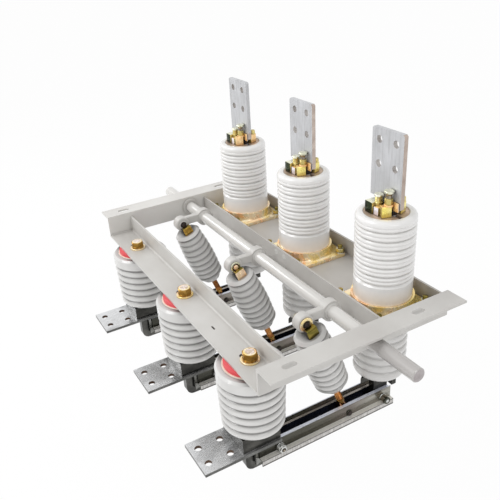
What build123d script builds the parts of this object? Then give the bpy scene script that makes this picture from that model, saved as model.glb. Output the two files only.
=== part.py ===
from build123d import *
import math
import os

os.makedirs("parts", exist_ok=True)

# A three-phase indoor disconnect switch. +X runs along the row of phases, +Y from the front posts
# to the rear bushings and +Z up. The origin is on the left end angle's top face, between its slots.

# Welded frame
phase_pitch = 250
phase_margin = 87
angle_flange = 44
angle_leg = 50
angle_thickness = 4
root_radius = 4
slot_width = 12
slot_length = 26
slot_inset = 21
slot_from_front = 46
slot_spacing = 257
front_beam_depth = 58
beam_drop = 11
bend_radius = 5

# Operating shaft, its collars and its cranks
shaft_from_front = 209
shaft_depth = 25
shaft_radius = 13
journal_radius = 12.5
journal_length = 78
journal_gap = 2
shaft_end_chamfer = 1.5
collar_radius = 20
collar_length = 6
crank_reach = 60.5
crank_thickness = 11
crank_offset = 15
crank_hub_radius = 20
crank_hub_tail = 5
crank_tip_radius = 16.7
crank_tip_boss = 7
crank_arm_drop = 6.5
crank_arm_rise = 12
crank_edge_round = 2.5

# Through bushings and their flange plates
bushing_from_front = 320
bushing_top = 141
bushing_bottom = -193
bushing_crest_radius = 53.5
bushing_lower_crest_radius = 50.5
bushing_end_radius = 45
bushing_bore_radius = 39.5
bushing_rim_round = 8
bushing_mouth_round = 2
bushing_upper_rib_top = 129
bushing_upper_rib_bottom = 19
bushing_lower_rib_top = -73
bushing_lower_rib_bottom = -172
bushing_upper_ribs = 13
bushing_lower_ribs = 6
bushing_deep_groove = 4.4
bushing_shallow_groove = 1.2
bushing_lower_groove = 3
bushing_groove_floor = 1.2
flange_neck_height = 19
flange_neck_wall = 4
flange_neck_root = 5
flange_plate_rim = 6.2
flange_plate_gap = 4
flange_plate_thickness = 7
flange_plate_corner = 8
flange_bolt_inset = 10
bolt_hole_radius = 5.5

# Conductors and the fittings in the bores
conductor_width = 76
conductor_core_width = 40
conductor_thickness = 8
conductor_top = 282
conductor_shoulder = 168
conductor_corner = 3
upper_hole_edge = 19
terminal_hole_gauge = 40
terminal_hole_pitch = 42
terminal_hole_radius = 6.5
pad_thickness = 5
pad_recess = 2
clamp_height = 21
clamp_width = 19
clamp_depth = 20
clamp_gap = 2
clamp_core_gap = 3
clamp_offset = 4

# Front posts, their caps and their seats
post_from_front = 37
post_top_radius = 60
post_bottom_radius = 56
post_shoulder = 4
post_band = 27
post_ribs = 6
post_groove = 4.5
post_groove_floor = 1.5
post_bottom = -183
cap_radius = 45
cap_thickness = 8
seat_height = 30
seat_width = 72
seat_from_front = -6

# Front terminals and contact tongues
front_terminal_width = 82
front_terminal_thickness = 6
front_terminal_reach = 81
front_terminal_length = 150
front_hole_edge = 16
tongue_front = 12
tongue_rear = 70
tongue_overhang = 13
tongue_corner = 16

# Blades, lock plates and pins
blade_drop = 19
blade_height = 38
bar_gap = 16
bar_thickness = 5
blade_front = 28
blade_tail = 22
flare_length = 8
flare_angle = 22
contact_from_front = 80
lock_plate_front = 36
lock_plate_rear = 340
lock_plate_thickness = 2
lock_plate_web = 27
lock_plate_flange = 10
tie_arm = 82.5
pivot_pin_radius = 6
contact_pin_radius = 5
tie_pin_radius = 4
pivot_pin_overhang = 15
contact_pin_overhang = 13
tie_pin_overhang = 3

# Pivot contacts
cheek_width = 34
cheek_drop = 21
foot_arm_reach = 52
foot_arm_width = 18
foot_arm_cut = 24
foot_ear_reach = 44
foot_ear_width = 10
foot_thickness = 12

# Tie insulators and their end fittings
tie_body_start = 22
tie_body_end = 172
tie_rib_start = 32
tie_rib_end = 152
tie_ribs = 8
tie_groove = 3.5
tie_groove_floor = 1.2
tie_top_radius = 24
tie_neck_radius = 30
tie_low_radius = 33
tie_bulge = 3.5
tie_foot_radius = 22
lug_width = 18
lug_thickness = 6
lug_radius = 11
crank_pin_radius = 6
stud_radius = 6
tie_eye_radius = 12
tie_eye_thickness = 13

# Clearances
shaft_clearance = 0.3
pin_clearance = 0.2
seat_clearance = 0.3
lug_clearance = 0.6
contact_clearance = 0.5
eye_clearance = 3.2

# Places worked out from the sizes above
neck_bore = bushing_crest_radius + seat_clearance
neck_radius = neck_bore + flange_neck_wall
flange_plate_size = 2 * (neck_radius + flange_plate_rim)
flange_bolt_spacing = flange_plate_size - 2 * flange_bolt_inset
tray_width = flange_plate_size + 2 * (flange_plate_gap + angle_thickness)
leg_span = 2 * (phase_pitch + phase_margin)
frame_depth = bushing_from_front + tray_width / 2
front_y = -(slot_from_front + slot_spacing / 2)
rear_y = front_y + frame_depth
left_face_x = slot_inset
right_face_x = left_face_x + leg_span
middle_x = left_face_x + leg_span / 2
phase_xs = (middle_x - phase_pitch, middle_x, middle_x + phase_pitch)
frame_bottom = -angle_leg
base_top = frame_bottom + angle_thickness
tray_y = rear_y - tray_width
bushing_y = front_y + bushing_from_front
post_y = front_y + post_from_front
shaft_y = front_y + shaft_from_front
shaft_z = -shaft_depth
crank_pin_y = shaft_y - crank_reach
tie_pin_y = bushing_y - tie_arm
contact_y = front_y + contact_from_front
cap_bottom = frame_bottom - cap_thickness
seat_bottom = post_bottom - seat_height
terminal_bottom = seat_bottom - front_terminal_thickness
blade_z = terminal_bottom - blade_drop - blade_height / 2
tongue_bottom = blade_z - blade_height / 2 - tongue_overhang
terminal_front_y = front_y - front_terminal_reach
bar_face = bar_gap / 2
bar_outer = bar_face + bar_thickness
plate_outer = bar_outer + lock_plate_thickness
contact_half = bar_face - contact_clearance


def rib_arcs(grooves, crests, floor):
    """Draws rounded ribs over the crests, between grooves that have narrow flat floors."""
    half = math.copysign(floor / 2, grooves[1][1] - grooves[0][1])
    Line(grooves[0], (grooves[0][0], grooves[0][1] + half))
    for start, crest, end in zip(grooves, crests, grooves[1:]):
        ThreePointArc((start[0], start[1] + half), crest, (end[0], end[1] - half))
    for groove in grooves[1:-1]:
        Line((groove[0], groove[1] - half), (groove[0], groove[1] + half))
    Line((grooves[-1][0], grooves[-1][1] - half), grooves[-1])


def even_steps(start, end, count):
    """Gives the count + 1 places that divide a length evenly."""
    return [start + (end - start) * i / count for i in range(count + 1)]


# Left and right end angles, each with a slotted flange on top that points outwards
for side, face_x, outward in (("left", left_face_x, -1), ("right", right_face_x, 1)):
    with BuildPart() as end_angle:
        with BuildSketch(Plane.XZ.offset(-front_y)):
            with BuildLine():
                Polyline(
                    (face_x, 0),
                    (face_x + outward * angle_flange, 0),
                    (face_x + outward * angle_flange, -angle_thickness),
                    (face_x + outward * angle_thickness, -angle_thickness),
                    (face_x + outward * angle_thickness, frame_bottom),
                    (face_x, frame_bottom),
                    close=True,
                )
            make_face()
        extrude(amount=-frame_depth)
        root = end_angle.edges().filter_by(Axis.Y).sort_by_distance(
            (face_x + outward * angle_thickness, 0, -angle_thickness)
        )
        fillet(root[0], root_radius)
        slot_x = face_x + outward * slot_inset
        with BuildSketch(Plane.XY):
            with Locations((slot_x, -slot_spacing / 2), (slot_x, slot_spacing / 2)):
                SlotOverall(slot_length, slot_width, rotation=90)
        extrude(amount=-angle_thickness, mode=Mode.SUBTRACT)
        with BuildSketch(Plane.YZ.offset(face_x)):
            with Locations((shaft_y, shaft_z)):
                Circle(shaft_radius + shaft_clearance)
        extrude(amount=outward * angle_thickness, mode=Mode.SUBTRACT)
    end_angle.part.label = f"end_angle_{side}"
    export_step(end_angle.part, f"parts/end_angle_{side}.step")

# Front beam, an angle with its flange level with the bottom of the legs
beam_rear_y = front_y + front_beam_depth
with BuildPart() as front_beam:
    with BuildSketch(Plane.YZ.offset(left_face_x)):
        with BuildLine():
            Polyline(
                (front_y, frame_bottom),
                (beam_rear_y, frame_bottom),
                (beam_rear_y, -beam_drop),
                (beam_rear_y - angle_thickness, -beam_drop),
                (beam_rear_y - angle_thickness, base_top),
                (front_y, base_top),
                close=True,
            )
        make_face()
    extrude(amount=leg_span)
    root = front_beam.edges().filter_by(Axis.X).sort_by_distance(
        (middle_x, beam_rear_y - angle_thickness, base_top)
    )
    fillet(root[0], root_radius)
    with BuildSketch(Plane.XY.offset(frame_bottom)):
        with Locations(*[(x, post_y) for x in phase_xs]):
            Circle(bolt_hole_radius)
    extrude(amount=angle_thickness, mode=Mode.SUBTRACT)
front_beam.part.label = "front_beam"
export_step(front_beam.part, "parts/front_beam.step")

# Bushing tray, a channel with a round opening and four bolt holes for each bushing
with BuildPart() as bushing_tray:
    with BuildSketch(Plane.YZ.offset(left_face_x)):
        with BuildLine():
            Polyline(
                (tray_y, -beam_drop),
                (tray_y, frame_bottom),
                (rear_y, frame_bottom),
                (rear_y, -beam_drop),
                (rear_y - angle_thickness, -beam_drop),
                (rear_y - angle_thickness, base_top),
                (tray_y + angle_thickness, base_top),
                (tray_y + angle_thickness, -beam_drop),
                close=True,
            )
        make_face()
    extrude(amount=leg_span)
    bends = bushing_tray.edges().filter_by(Axis.X).group_by(Axis.Z)[0]
    fillet(bends, bend_radius)
    with BuildSketch(Plane.XY.offset(frame_bottom)):
        with Locations(*[(x, bushing_y) for x in phase_xs]):
            Circle(bushing_lower_crest_radius + seat_clearance)
            with GridLocations(flange_bolt_spacing, flange_bolt_spacing, 2, 2):
                Circle(bolt_hole_radius)
    extrude(amount=angle_thickness, mode=Mode.SUBTRACT)
bushing_tray.part.label = "bushing_tray"
export_step(bushing_tray.part, "parts/bushing_tray.step")

# Porcelain bushings, ribbed tubes whose collars rest on the tray
upper_places = even_steps(bushing_upper_rib_top, bushing_upper_rib_bottom, bushing_upper_ribs)
lower_places = even_steps(bushing_lower_rib_top, bushing_lower_rib_bottom, bushing_lower_ribs)
upper_pitch = (bushing_upper_rib_top - bushing_upper_rib_bottom) / bushing_upper_ribs
lower_pitch = (bushing_lower_rib_top - bushing_lower_rib_bottom) / bushing_lower_ribs
upper_depths = [
    bushing_deep_groove if i % 2 else bushing_shallow_groove for i in range(bushing_upper_ribs + 1)
]
for number, x in enumerate(phase_xs, start=1):
    bore_x = x + bushing_bore_radius
    crest_x = x + bushing_crest_radius
    lower_crest_x = x + bushing_lower_crest_radius
    lower_groove_x = lower_crest_x - bushing_lower_groove
    with BuildPart() as bushing:
        with BuildSketch(Plane.XZ.offset(-bushing_y)):
            with BuildLine():
                Line((bore_x, bushing_bottom), (bore_x, bushing_top - bushing_mouth_round))
                RadiusArc(
                    (bore_x, bushing_top - bushing_mouth_round),
                    (bore_x + bushing_mouth_round, bushing_top),
                    bushing_mouth_round,
                )
                Line(
                    (bore_x + bushing_mouth_round, bushing_top),
                    (crest_x - bushing_rim_round, bushing_top),
                )
                RadiusArc(
                    (crest_x - bushing_rim_round, bushing_top),
                    (crest_x, bushing_top - bushing_rim_round),
                    bushing_rim_round,
                )
                Polyline(
                    (crest_x, bushing_top - bushing_rim_round),
                    (crest_x, upper_places[0] + upper_depths[0]),
                    (crest_x - upper_depths[0], upper_places[0]),
                )
                rib_arcs(
                    [(crest_x - depth, z) for depth, z in zip(upper_depths, upper_places)],
                    [(crest_x, z - upper_pitch / 2) for z in upper_places[:-1]],
                    bushing_groove_floor,
                )
                Polyline(
                    (crest_x - upper_depths[-1], upper_places[-1]),
                    (crest_x, upper_places[-1] - upper_depths[-1]),
                    (crest_x, base_top),
                    (lower_crest_x, base_top),
                    (lower_crest_x, lower_places[0] + bushing_lower_groove),
                    (lower_groove_x, lower_places[0]),
                )
                rib_arcs(
                    [(lower_groove_x, z) for z in lower_places],
                    [(lower_crest_x, z - lower_pitch / 2) for z in lower_places[:-1]],
                    bushing_groove_floor,
                )
                ThreePointArc(
                    (lower_groove_x, lower_places[-1]),
                    (lower_crest_x, lower_places[-1] - lower_pitch / 2),
                    (x + bushing_end_radius, bushing_bottom),
                )
                Line((x + bushing_end_radius, bushing_bottom), (bore_x, bushing_bottom))
            make_face()
        revolve(axis=Axis((x, bushing_y, 0), (0, 0, 1)))
    bushing.part.label = f"bushing_{number}"
    export_step(bushing.part, f"parts/bushing_{number}.step")

# Square flange plates, each with a neck round its bushing's collar
neck_foot = base_top + flange_plate_thickness
with BuildPart() as flange_plates:
    with BuildSketch(Plane.XY.offset(base_top)):
        with Locations(*[(x, bushing_y) for x in phase_xs]):
            RectangleRounded(flange_plate_size, flange_plate_size, flange_plate_corner)
    extrude(amount=flange_plate_thickness)
    with BuildSketch(Plane.XY.offset(neck_foot)):
        with Locations(*[(x, bushing_y) for x in phase_xs]):
            Circle(neck_radius)
    extrude(amount=flange_neck_height)
    neck_roots = flange_plates.edges().filter_by(GeomType.CIRCLE).filter_by_position(
        Axis.Z, neck_foot, neck_foot
    )
    fillet(neck_roots.filter_by(lambda edge: edge.radius > flange_plate_corner), flange_neck_root)
    with BuildSketch(Plane.XY.offset(base_top)):
        with Locations(*[(x, bushing_y) for x in phase_xs]):
            Circle(neck_bore)
            with GridLocations(flange_bolt_spacing, flange_bolt_spacing, 2, 2):
                Circle(bolt_hole_radius)
    extrude(amount=flange_plate_thickness + flange_neck_height, mode=Mode.SUBTRACT)
flange_plates.part.label = "flange_plates"
export_step(flange_plates.part, "parts/flange_plates.step")

# Flat conductors, each a broad upper terminal on a narrower core that runs down its bushing
for number, x in enumerate(phase_xs, start=1):
    with BuildPart() as conductor:
        with BuildSketch(Plane.XY.offset(bushing_bottom)):
            with Locations((x, bushing_y)):
                Rectangle(conductor_core_width, conductor_thickness)
        extrude(amount=conductor_shoulder - bushing_bottom)
        with BuildSketch(Plane.XY.offset(conductor_shoulder)):
            with Locations((x, bushing_y)):
                Rectangle(conductor_width, conductor_thickness)
        extrude(amount=conductor_top - conductor_shoulder)
        top_corners = conductor.edges().filter_by(Axis.Y).group_by(Axis.Z)[-1]
        chamfer(top_corners, conductor_corner)
        hole_z = conductor_top - upper_hole_edge - terminal_hole_pitch / 2
        with BuildSketch(Plane.XZ.offset(-bushing_y)):
            with Locations((x, hole_z)):
                with GridLocations(terminal_hole_gauge, terminal_hole_pitch, 2, 2):
                    Circle(terminal_hole_radius)
        extrude(amount=conductor_thickness, both=True, mode=Mode.SUBTRACT)
    conductor.part.label = f"conductor_{number}"
    export_step(conductor.part, f"parts/conductor_{number}.step")

# Half-round pads that close each bore on both sides of the conductor, at its top and bottom
pad_z = bushing_top - pad_recess - pad_thickness
with BuildPart() as bore_pads:
    for plane_z in (pad_z, bushing_bottom):
        with BuildSketch(Plane.XY.offset(plane_z)):
            with Locations(*[(x, bushing_y) for x in phase_xs]):
                Circle(bushing_bore_radius - seat_clearance)
                Rectangle(2 * bushing_bore_radius, conductor_thickness, mode=Mode.SUBTRACT)
        extrude(amount=pad_thickness)
bore_pads.part.label = "bore_pads"
export_step(bore_pads.part, "parts/bore_pads.step")

# Clamp blocks, four on the pads in the mouth of each bushing, round the conductor's core
clamp_pitch_x = clamp_width + clamp_gap
clamp_pitch_y = clamp_depth + conductor_thickness + 2 * clamp_core_gap
with BuildPart() as terminal_clamps:
    with BuildSketch(Plane.XY.offset(pad_z + pad_thickness)):
        with Locations(*[(x - clamp_offset, bushing_y) for x in phase_xs]):
            with GridLocations(clamp_pitch_x, clamp_pitch_y, 2, 2):
                Rectangle(clamp_width, clamp_depth)
    extrude(amount=clamp_height)
terminal_clamps.part.label = "terminal_clamps"
export_step(terminal_clamps.part, "parts/terminal_clamps.step")

# Painted caps between the front beam and the posts
with BuildPart() as post_caps:
    with BuildSketch(Plane.XY.offset(frame_bottom)):
        with Locations(*[(x, post_y) for x in phase_xs]):
            Circle(cap_radius)
    extrude(amount=-cap_thickness)
post_caps.part.label = "post_caps"
export_step(post_caps.part, "parts/post_caps.step")

# Front posts, barrel shaped with a plain band above and broad ribs below
rib_top = cap_bottom - post_band
post_places = even_steps(rib_top, post_bottom, post_ribs)
post_radii = even_steps(post_top_radius, post_bottom_radius, post_ribs)
for number, x in enumerate(phase_xs, start=1):
    with BuildPart() as post:
        with BuildSketch(Plane.XZ.offset(-post_y)):
            with BuildLine():
                Polyline(
                    (x, post_bottom),
                    (x, cap_bottom),
                    (x + post_top_radius - post_shoulder, cap_bottom),
                    (x + post_top_radius, cap_bottom - post_shoulder),
                    (x + post_top_radius, rib_top + post_groove),
                    (x + post_top_radius - post_groove, rib_top),
                )
                grooves = [(x + radius - post_groove, z) for radius, z in zip(post_radii, post_places)]
                crests = [
                    (x + (upper + lower) / 2, (above + below) / 2)
                    for upper, lower, above, below in zip(
                        post_radii, post_radii[1:], post_places, post_places[1:]
                    )
                ]
                rib_arcs(grooves, crests, post_groove_floor)
                Line(grooves[-1], (x, post_bottom))
            make_face()
        revolve(axis=Axis((x, post_y, 0), (0, 0, 1)))
    post.part.label = f"post_{number}"
    export_step(post.part, f"parts/post_{number}.step")

# Metal seats between the posts and the front terminals
terminal_rear_y = terminal_front_y + front_terminal_length
seat_front_y = front_y + seat_from_front
seat_depth = terminal_rear_y - seat_front_y
with BuildPart() as post_seats:
    with BuildSketch(Plane.XY.offset(seat_bottom)):
        with Locations(*[(x, seat_front_y + seat_depth / 2) for x in phase_xs]):
            Rectangle(seat_width, seat_depth)
    extrude(amount=seat_height)
post_seats.part.label = "post_seats"
export_step(post_seats.part, "parts/post_seats.step")

# Front terminals, flat plates under the seats
for number, x in enumerate(phase_xs, start=1):
    with BuildPart() as front_terminal:
        with BuildSketch(Plane.XY.offset(terminal_bottom)):
            with Locations((x, terminal_front_y + front_terminal_length / 2)):
                Rectangle(front_terminal_width, front_terminal_length)
            hole_y = terminal_front_y + front_hole_edge + terminal_hole_pitch / 2
            with Locations((x, hole_y)):
                with GridLocations(terminal_hole_gauge, terminal_hole_pitch, 2, 2):
                    Circle(terminal_hole_radius, mode=Mode.SUBTRACT)
        extrude(amount=front_terminal_thickness)
    front_terminal.part.label = f"front_terminal_{number}"
    export_step(front_terminal.part, f"parts/front_terminal_{number}.step")

# Contact tongues that hang from the front terminals
with BuildPart() as contact_tongues:
    for x in phase_xs:
        with BuildSketch(Plane.YZ.offset(x - contact_half)):
            with BuildLine():
                Polyline(
                    (front_y + tongue_front, terminal_bottom),
                    (front_y + tongue_front, tongue_bottom),
                    (front_y + tongue_rear, tongue_bottom),
                    (front_y + tongue_rear, terminal_bottom),
                    close=True,
                )
            make_face()
        extrude(amount=2 * contact_half)
    lower_corners = contact_tongues.edges().filter_by(Axis.X).group_by(Axis.Z)[0]
    fillet(lower_corners, tongue_corner)
contact_tongues.part.label = "contact_tongues"
export_step(contact_tongues.part, "parts/contact_tongues.step")

# Pivot contacts, each a cheek that the blade turns on, and a foot under the bushing that has
# two arms with slanted ends and two side ears
foot_bottom = bushing_bottom - foot_thickness
cheek_bottom = blade_z - cheek_drop
arm_side = foot_arm_width / 2
arm_shoulder = foot_arm_reach - foot_arm_cut
for number, x in enumerate(phase_xs, start=1):
    with BuildPart() as pivot_contact:
        with BuildSketch(Plane.XY.offset(foot_bottom)):
            with BuildLine():
                Polyline(
                    (x + arm_side, bushing_y - foot_arm_reach),
                    (x + arm_side, bushing_y + arm_shoulder),
                    (x - arm_side, bushing_y + foot_arm_reach),
                    (x - arm_side, bushing_y - arm_shoulder),
                    close=True,
                )
            make_face()
            with Locations((x, bushing_y)):
                Rectangle(2 * foot_ear_reach, foot_ear_width)
        extrude(amount=foot_thickness)
        with BuildSketch(Plane.YZ.offset(x - contact_half)):
            with BuildLine():
                Polyline(
                    (bushing_y - cheek_width / 2, foot_bottom),
                    (bushing_y - cheek_width / 2, cheek_bottom),
                    (bushing_y + cheek_width / 2, cheek_bottom),
                    (bushing_y + cheek_width / 2, foot_bottom),
                    close=True,
                )
            make_face()
        extrude(amount=2 * contact_half)
        lower_corners = pivot_contact.edges().filter_by(Axis.X).group_by(Axis.Z)[0]
        fillet(lower_corners, cheek_width / 3)
        with BuildSketch(Plane.YZ.offset(x - contact_half)):
            with Locations((bushing_y, blade_z)):
                Circle(pivot_pin_radius + pin_clearance)
        extrude(amount=2 * contact_half, mode=Mode.SUBTRACT)
    pivot_contact.part.label = f"pivot_contact_{number}"
    export_step(pivot_contact.part, f"parts/pivot_contact_{number}.step")

# Bearing collars on the inner faces of the end angles
with BuildPart() as shaft_collars:
    for plane_x in (left_face_x, right_face_x - collar_length):
        with BuildSketch(Plane.YZ.offset(plane_x)):
            with Locations((shaft_y, shaft_z)):
                Circle(collar_radius)
                Circle(shaft_radius + shaft_clearance, mode=Mode.SUBTRACT)
        extrude(amount=collar_length)
shaft_collars.part.label = "shaft_collars"
export_step(shaft_collars.part, "parts/shaft_collars.step")

# Operating shaft with a turned journal at each end
body_end = leg_span / 2 + angle_flange + journal_gap
shaft_end = body_end + journal_length
with BuildPart() as shaft:
    with BuildSketch(Plane.XZ.offset(-shaft_y)):
        with BuildLine():
            Polyline(
                (middle_x - shaft_end, shaft_z),
                (middle_x - shaft_end, shaft_z + journal_radius - shaft_end_chamfer),
                (middle_x - shaft_end + shaft_end_chamfer, shaft_z + journal_radius),
                (middle_x - body_end, shaft_z + journal_radius),
                (middle_x - body_end, shaft_z + shaft_radius),
                (middle_x + body_end, shaft_z + shaft_radius),
                (middle_x + body_end, shaft_z + journal_radius),
                (middle_x + shaft_end - shaft_end_chamfer, shaft_z + journal_radius),
                (middle_x + shaft_end, shaft_z + journal_radius - shaft_end_chamfer),
                (middle_x + shaft_end, shaft_z),
                close=True,
            )
        make_face()
    revolve(axis=Axis((0, shaft_y, shaft_z), (1, 0, 0)))
shaft.part.label = "shaft"
export_step(shaft.part, "parts/shaft.step")

# Cranks, each a hub round the shaft, an arm cut away below to clear the tie insulator and a
# boss at the tip for the crank pin
for number, x in enumerate(phase_xs, start=1):
    crank_plane = Plane.YZ.offset(x - crank_offset)
    with BuildPart() as crank:
        with BuildSketch(crank_plane):
            with BuildLine():
                Polyline(
                    (crank_pin_y, shaft_z + crank_arm_rise),
                    (shaft_y, shaft_z + crank_arm_rise),
                    (shaft_y, shaft_z - crank_arm_drop),
                    (crank_pin_y, shaft_z - crank_arm_drop),
                    close=True,
                )
            make_face()
        extrude(amount=crank_thickness)
        long_edges = crank.edges().filter_by(Axis.Y).group_by(Axis.X)[-1]
        fillet(long_edges, crank_edge_round)
        with BuildSketch(crank_plane):
            with Locations((crank_pin_y, shaft_z)):
                Circle(crank_tip_radius)
        extrude(amount=crank_thickness + crank_tip_boss)
        with BuildSketch(crank_plane.offset(-crank_hub_tail)):
            with Locations((shaft_y, shaft_z)):
                Circle(crank_hub_radius)
        extrude(amount=crank_hub_tail + crank_thickness)
        ring_ends = crank.edges().filter_by(GeomType.CIRCLE).group_by(Axis.X)
        fillet(ring_ends[-1], crank_edge_round)
        with BuildSketch(crank_plane.offset(-crank_hub_tail)):
            with Locations((shaft_y, shaft_z)):
                Circle(shaft_radius)
            with Locations((crank_pin_y, shaft_z)):
                Circle(crank_pin_radius + pin_clearance)
        extrude(amount=crank_hub_tail + crank_thickness + crank_tip_boss, mode=Mode.SUBTRACT)
    crank.part.label = f"crank_{number}"
    export_step(crank.part, f"parts/crank_{number}.step")

# Blades, each a pair of bars with flared front ends, two lock plates and three pins
blade_front_y = front_y + blade_front
flare_end_y = blade_front_y + flare_length
flare_spread = flare_length * math.tan(math.radians(flare_angle))
blade_tail_y = bushing_y + blade_tail
pins = (
    (bushing_y, pivot_pin_radius, pivot_pin_overhang),
    (contact_y, contact_pin_radius, contact_pin_overhang),
    (tie_pin_y, tie_pin_radius, tie_pin_overhang),
)
for number, x in enumerate(phase_xs, start=1):
    with BuildPart() as blade_bars:
        with BuildSketch(Plane.XY.offset(blade_z - blade_height / 2)):
            for side in (-1, 1):
                with BuildLine():
                    Polyline(
                        (x + side * bar_face, blade_tail_y),
                        (x + side * bar_face, flare_end_y),
                        (x + side * (bar_face + flare_spread), blade_front_y),
                        (x + side * (bar_outer + flare_spread), blade_front_y),
                        (x + side * bar_outer, flare_end_y),
                        (x + side * bar_outer, blade_tail_y),
                        close=True,
                    )
                make_face()
        extrude(amount=blade_height)
        tail_corners = blade_bars.edges().filter_by(Axis.X).group_by(Axis.Y)[-1]
        fillet(tail_corners, blade_height / 4)
        with BuildSketch(Plane.YZ.offset(x - bar_outer)):
            for pin_y, radius, overhang in pins:
                with Locations((pin_y, blade_z)):
                    Circle(radius)
        extrude(amount=2 * bar_outer, mode=Mode.SUBTRACT)
    blade_bars.part.label = f"blade_bars_{number}"
    export_step(blade_bars.part, f"parts/blade_bars_{number}.step")

    # One pressing, used on both bars and turned over on the far one
    with BuildPart() as lock_plates:
        with BuildSketch(Plane.XZ.offset(-(front_y + lock_plate_front))):
            for side in (-1, 1):
                web_start = blade_z + side * blade_height / 2
                web_end = web_start - side * lock_plate_web
                lip_end = blade_z - side * blade_height / 2
                lip_x = x + side * (plate_outer + lock_plate_flange)
                with BuildLine():
                    Polyline(
                        (x + side * bar_outer, web_start),
                        (x + side * bar_outer, web_end),
                        (lip_x - side * lock_plate_thickness, web_end),
                        (lip_x - side * lock_plate_thickness, lip_end),
                        (lip_x, lip_end),
                        (lip_x, web_end + side * lock_plate_thickness),
                        (x + side * plate_outer, web_end + side * lock_plate_thickness),
                        (x + side * plate_outer, web_start),
                        close=True,
                    )
                make_face()
        extrude(amount=-(lock_plate_rear - lock_plate_front))
        with BuildSketch(Plane.YZ.offset(x - plate_outer)):
            for pin_y, radius, overhang in pins:
                with Locations((pin_y, blade_z)):
                    Circle(radius)
        extrude(amount=2 * plate_outer, mode=Mode.SUBTRACT)
    lock_plates.part.label = f"lock_plates_{number}"
    export_step(lock_plates.part, f"parts/lock_plates_{number}.step")

    with BuildPart() as blade_pins:
        for pin_y, radius, overhang in pins:
            reach = plate_outer + overhang
            with BuildSketch(Plane.YZ.offset(x - reach)):
                with Locations((pin_y, blade_z)):
                    Circle(radius)
            extrude(amount=2 * reach)
    blade_pins.part.label = f"blade_pins_{number}"
    export_step(blade_pins.part, f"parts/blade_pins_{number}.step")

# Tie insulators, drawn along the line from the crank pin down to the tie pin
tie_length = math.hypot(tie_pin_y - crank_pin_y, blade_z - shaft_z)
tie_down = Vector(0, tie_pin_y - crank_pin_y, blade_z - shaft_z).normalized()
tie_side = Vector(1, 0, 0).cross(tie_down)
tie_places = even_steps(tie_rib_start, tie_rib_end, tie_ribs)
tie_rib_pitch = (tie_rib_end - tie_rib_start) / tie_ribs


def tie_radius(along):
    """Gives the barrel-shaped body's radius at a distance from the crank pin."""
    share = (along - tie_rib_start) / (tie_rib_end - tie_rib_start)
    straight = tie_neck_radius + (tie_low_radius - tie_neck_radius) * share
    return straight + tie_bulge * math.sin(math.pi * share)


for number, x in enumerate(phase_xs, start=1):
    crank_pin = Vector(x, crank_pin_y, shaft_z)
    lengthwise = Plane(origin=crank_pin, x_dir=tie_side, z_dir=(-1, 0, 0))
    with BuildPart() as tie_insulator:
        with BuildSketch(lengthwise):
            with BuildLine():
                grooves = [(tie_radius(along) - tie_groove, along) for along in tie_places]
                crests = [
                    (tie_radius(along + tie_rib_pitch / 2), along + tie_rib_pitch / 2)
                    for along in tie_places[:-1]
                ]
                Polyline(
                    (0, tie_body_start),
                    (tie_top_radius, tie_body_start),
                    (tie_neck_radius, tie_body_start + tie_neck_radius - tie_top_radius),
                    grooves[0],
                )
                rib_arcs(grooves, crests, tie_groove_floor)
                Polyline(
                    grooves[-1],
                    (tie_low_radius, tie_rib_end + tie_groove),
                    (tie_foot_radius, tie_body_end),
                    (0, tie_body_end),
                    (0, tie_body_start),
                )
            make_face()
        revolve(axis=Axis(crank_pin, tie_down))
    tie_insulator.part.label = f"tie_insulator_{number}"
    export_step(tie_insulator.part, f"parts/tie_insulator_{number}.step")

    # A lug with the crank pin above the insulator, a stud with an eye below it
    lug_plane = lengthwise.offset(crank_offset + lug_clearance)
    pin_length = lug_clearance + crank_thickness + crank_tip_boss
    with BuildPart() as tie_fittings:
        with BuildSketch(lug_plane):
            Circle(lug_radius)
            with Locations((0, tie_body_start / 2)):
                Rectangle(lug_width, tie_body_start)
        extrude(amount=lug_thickness)
        with BuildSketch(lug_plane):
            Circle(crank_pin_radius)
        extrude(amount=-pin_length)
        with BuildSketch(Plane(origin=crank_pin + tie_down * tie_body_end, z_dir=tie_down)):
            Circle(stud_radius)
        extrude(amount=tie_length - tie_body_end)
        with BuildSketch(lengthwise.offset(-tie_eye_thickness / 2)):
            with Locations((0, tie_length)):
                Circle(tie_eye_radius)
        extrude(amount=tie_eye_thickness)
        with BuildSketch(lengthwise.offset(-tie_eye_thickness / 2)):
            with Locations((0, tie_length)):
                Circle(tie_pin_radius + eye_clearance)
        extrude(amount=tie_eye_thickness, mode=Mode.SUBTRACT)
    tie_fittings.part.label = f"tie_fittings_{number}"
    export_step(tie_fittings.part, f"parts/tie_fittings_{number}.step")
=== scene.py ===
import math

import bmesh
import bpy
from mathutils import Matrix, Vector


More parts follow.
